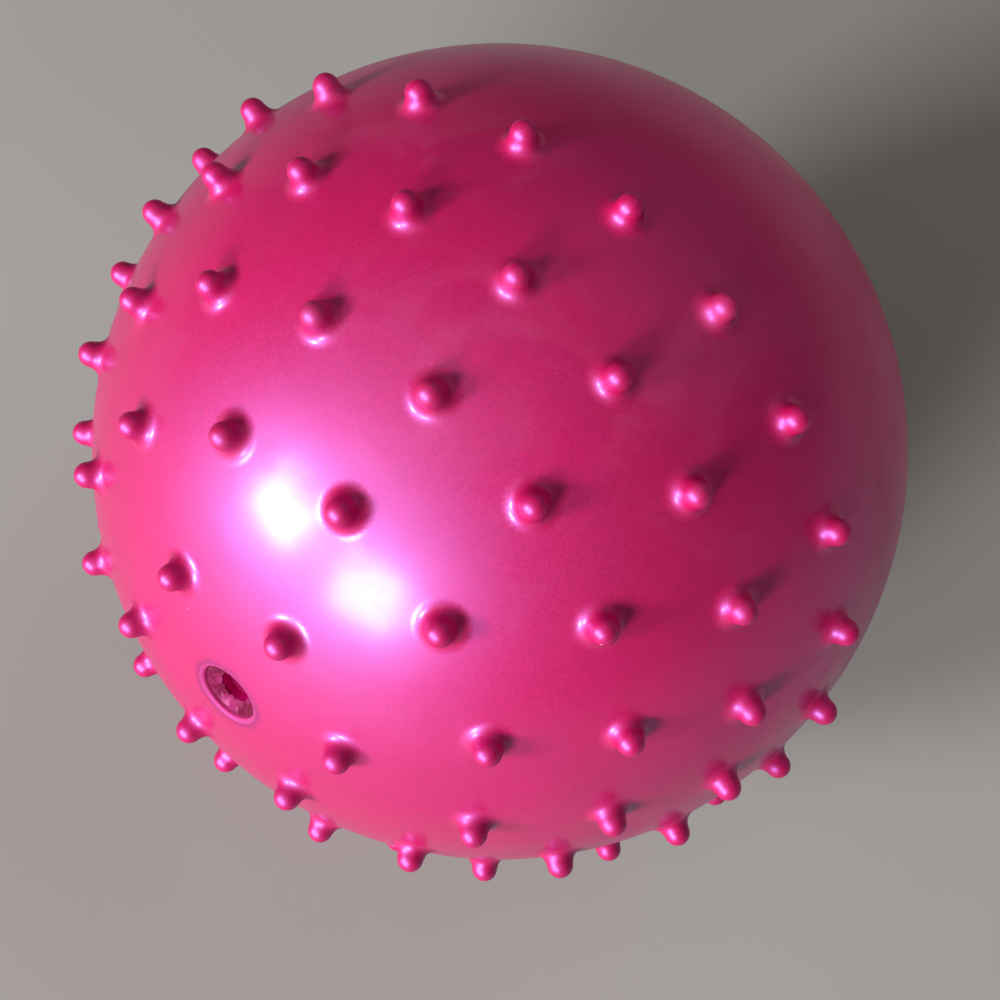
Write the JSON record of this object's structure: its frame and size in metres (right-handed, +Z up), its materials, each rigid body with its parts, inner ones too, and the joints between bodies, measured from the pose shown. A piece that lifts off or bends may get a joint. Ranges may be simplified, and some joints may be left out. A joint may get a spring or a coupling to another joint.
{
  "type": "knobbed play ball",
  "caption": "Hollow soft ball with rings of small round knobs around a sunken valve, lying on a floor; the valve plug pulls out to let the air go.",
  "frame": {"origin": "the point where the bare skin touches the floor, straight under the ball's centre", "axes": "+Z up, +Y the way the camera looks over the floor, +X to its right. The valve axis leans 69 degrees from +Z, turned 230 degrees anticlockwise from +X"},
  "size_m": [0.1337, 0.1332, 0.1338],
  "materials": {
    "pearl_vinyl": "pearl sprayed soft vinyl",
    "clear_crimson_vinyl": "bare glossy soft vinyl",
    "plug_vinyl": "smooth soft vinyl"
  },
  "bodies": {
    "ball": {"skin": "pearl_vinyl", "valve_seat": "clear_crimson_vinyl"},
    "plug": {"valve_plug": "plug_vinyl"}
  },
  "joints": [
    {"name": "plug_pull", "type": "slide", "parent": "ball", "child": "plug", "axis": [-0.6001, -0.7152, 0.3584], "range_m": [0, 0.02]}
  ]
}
